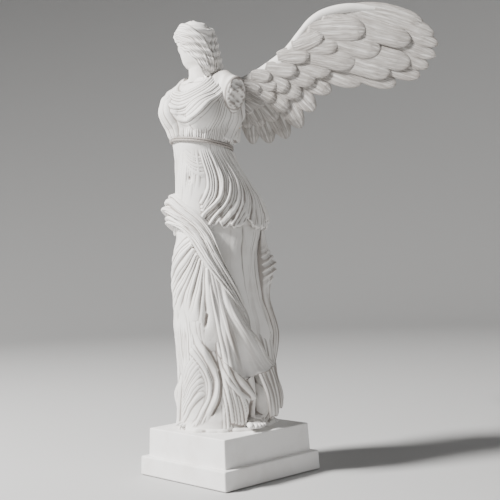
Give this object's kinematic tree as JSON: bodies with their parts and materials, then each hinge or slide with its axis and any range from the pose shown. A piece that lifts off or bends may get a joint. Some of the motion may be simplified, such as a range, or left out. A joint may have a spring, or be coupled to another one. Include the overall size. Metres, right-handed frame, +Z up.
{
  "type": "figure trophy",
  "caption": "Free-standing trophy: a draped, winged classical figure on a square two-step plinth, with wings that plug into its back.",
  "frame": {"origin": "centre of the felt pad's underside, the face the trophy rests on", "axes": "+Z up; the figure faces -Y and its left side is +X; the wings point back and out, towards +Y"},
  "size_m": [0.3044, 0.1575, 0.3776],
  "materials": {
    "cast_marble": "matte, fine grain, grey wash in the folds",
    "plinth_marble": "matte, smooth",
    "felt": "short felt",
    "zinc_steel": "zinc plated",
    "brass": "turned"
  },
  "bodies": {
    "root": {"felt_pad": "felt", "foot_slab": "plinth_marble", "plinth_block": "plinth_marble", "slab_pins": "zinc_steel", "tie_rod": "zinc_steel", "rod_washer": "zinc_steel", "rod_nut": "zinc_steel", "rod_insert": "brass", "figure_pins": "zinc_steel", "ground_sole": "cast_marble", "skirt": "cast_marble", "left_foot": "cast_marble", "right_foot": "cast_marble", "hip_mantle": "cast_marble", "mantle_fall": "cast_marble", "back_drape": "cast_marble", "tunic": "cast_marble", "spine_rod": "zinc_steel", "girdle_cord": "cast_marble", "bodice": "cast_marble", "left_arm_stump": "cast_marble", "right_arm_stump": "cast_marble", "neck_dowel": "zinc_steel", "head": "cast_marble", "hair": "cast_marble", "left_peg_sockets": "brass", "right_peg_sockets": "brass"},
    "left_wing": {"left_wing_pegs": "zinc_steel", "left_wing_arm": "cast_marble", "left_flight_feathers": "cast_marble", "left_long_coverts": "cast_marble", "left_short_coverts": "cast_marble"},
    "right_wing": {"right_wing_pegs": "zinc_steel", "right_wing_arm": "cast_marble", "right_flight_feathers": "cast_marble", "right_long_coverts": "cast_marble", "right_short_coverts": "cast_marble"}
  },
  "joints": [
    {"name": "left_wing_slide", "type": "slide", "parent": "root", "child": "left_wing", "axis": [0.809, 0.5878, 0], "range_m": [0, 0.018]},
    {"name": "right_wing_slide", "type": "slide", "parent": "root", "child": "right_wing", "axis": [-0.809, 0.5878, 0], "range_m": [0, 0.018]}
  ]
}
